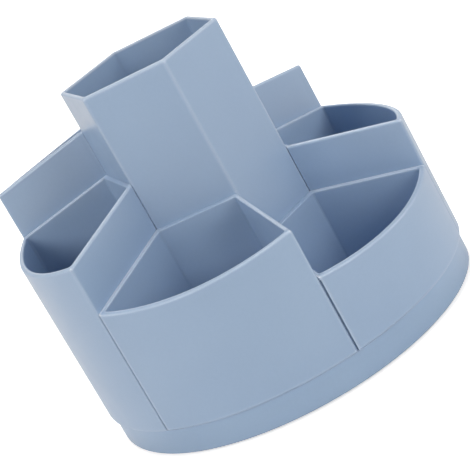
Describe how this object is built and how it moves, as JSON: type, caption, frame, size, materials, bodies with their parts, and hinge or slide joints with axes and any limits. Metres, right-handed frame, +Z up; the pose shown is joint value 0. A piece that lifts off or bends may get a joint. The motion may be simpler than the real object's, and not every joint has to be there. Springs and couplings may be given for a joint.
{
  "type": "rotating pen holder",
  "caption": "Round desk pen holder: lift-out wedge bins with sloping rims rise in steps round a tall hexagonal cup, on a ball-bearing turntable in a low fixed base.",
  "frame": {"origin": "on the turning axis at desk level, under the rubber feet", "axes": "+Z up along the turning axis, -Y towards the lowest bin, which is the front, and +X to the right seen from the front"},
  "size_m": [0.145, 0.145, 0.1204],
  "materials": {
    "cup_plastic": "satin moulded ABS, light steel blue",
    "turntable_plastic": "satin moulded plastic, light steel blue",
    "base_plastic": "satin moulded plastic, light steel blue",
    "cage_plastic": "natural moulded acetal",
    "ball_steel": "polished bearing steel",
    "plated_steel": "zinc-plated steel",
    "foot_rubber": "dark grey rubber"
  },
  "bodies": {
    "base": {"base": "base_plastic", "foot_pad_1": "foot_rubber", "foot_pad_2": "foot_rubber", "foot_pad_3": "foot_rubber", "foot_pad_4": "foot_rubber", "foot_pad_5": "foot_rubber", "foot_pad_6": "foot_rubber", "pivot_washer": "plated_steel", "pivot_screw": "plated_steel"},
    "ball_cage": {"ball_cage": "cage_plastic", "bearing_ball_01": "ball_steel", "bearing_ball_02": "ball_steel", "bearing_ball_03": "ball_steel", "bearing_ball_04": "ball_steel", "bearing_ball_05": "ball_steel", "bearing_ball_06": "ball_steel", "bearing_ball_07": "ball_steel", "bearing_ball_08": "ball_steel", "bearing_ball_09": "ball_steel", "bearing_ball_10": "ball_steel", "bearing_ball_11": "ball_steel", "bearing_ball_12": "ball_steel"},
    "turntable": {"turntable": "turntable_plastic"},
    "tower_cup": {"tower_cup": "cup_plastic"},
    "front_bin": {"front_bin": "cup_plastic"},
    "front_left_bin": {"front_left_bin": "cup_plastic"},
    "front_right_bin": {"front_right_bin": "cup_plastic"},
    "back_left_bin": {"back_left_bin": "cup_plastic"},
    "back_right_bin": {"back_right_bin": "cup_plastic"},
    "back_bin": {"back_bin": "cup_plastic"}
  },
  "joints": [
    {"name": "turntable_spin", "type": "hinge", "parent": "base", "child": "turntable", "pos_m": [0, 0, 0.01165], "axis": [0, 0, 1], "continuous": true},
    {"name": "ball_cage_spin", "type": "hinge", "parent": "base", "child": "ball_cage", "pos_m": [0, 0, 0.00632], "axis": [0, 0, 1], "continuous": true},
    {"name": "tower_cup_lift", "type": "slide", "parent": "turntable", "child": "tower_cup", "axis": [0, 0, 1], "range_m": [0, 0.11]},
    {"name": "front_bin_lift", "type": "slide", "parent": "turntable", "child": "front_bin", "axis": [0, 0, 1], "range_m": [0, 0.11]},
    {"name": "front_left_bin_lift", "type": "slide", "parent": "turntable", "child": "front_left_bin", "axis": [0, 0, 1], "range_m": [0, 0.11]},
    {"name": "front_right_bin_lift", "type": "slide", "parent": "turntable", "child": "front_right_bin", "axis": [0, 0, 1], "range_m": [0, 0.11]},
    {"name": "back_left_bin_lift", "type": "slide", "parent": "turntable", "child": "back_left_bin", "axis": [0, 0, 1], "range_m": [0, 0.11]},
    {"name": "back_right_bin_lift", "type": "slide", "parent": "turntable", "child": "back_right_bin", "axis": [0, 0, 1], "range_m": [0, 0.11]},
    {"name": "back_bin_lift", "type": "slide", "parent": "turntable", "child": "back_bin", "axis": [0, 0, 1], "range_m": [0, 0.11]}
  ],
  "couplings": [
    {"joint": "ball_cage_spin", "follows": "turntable_spin", "ratio": 0.5}
  ]
}
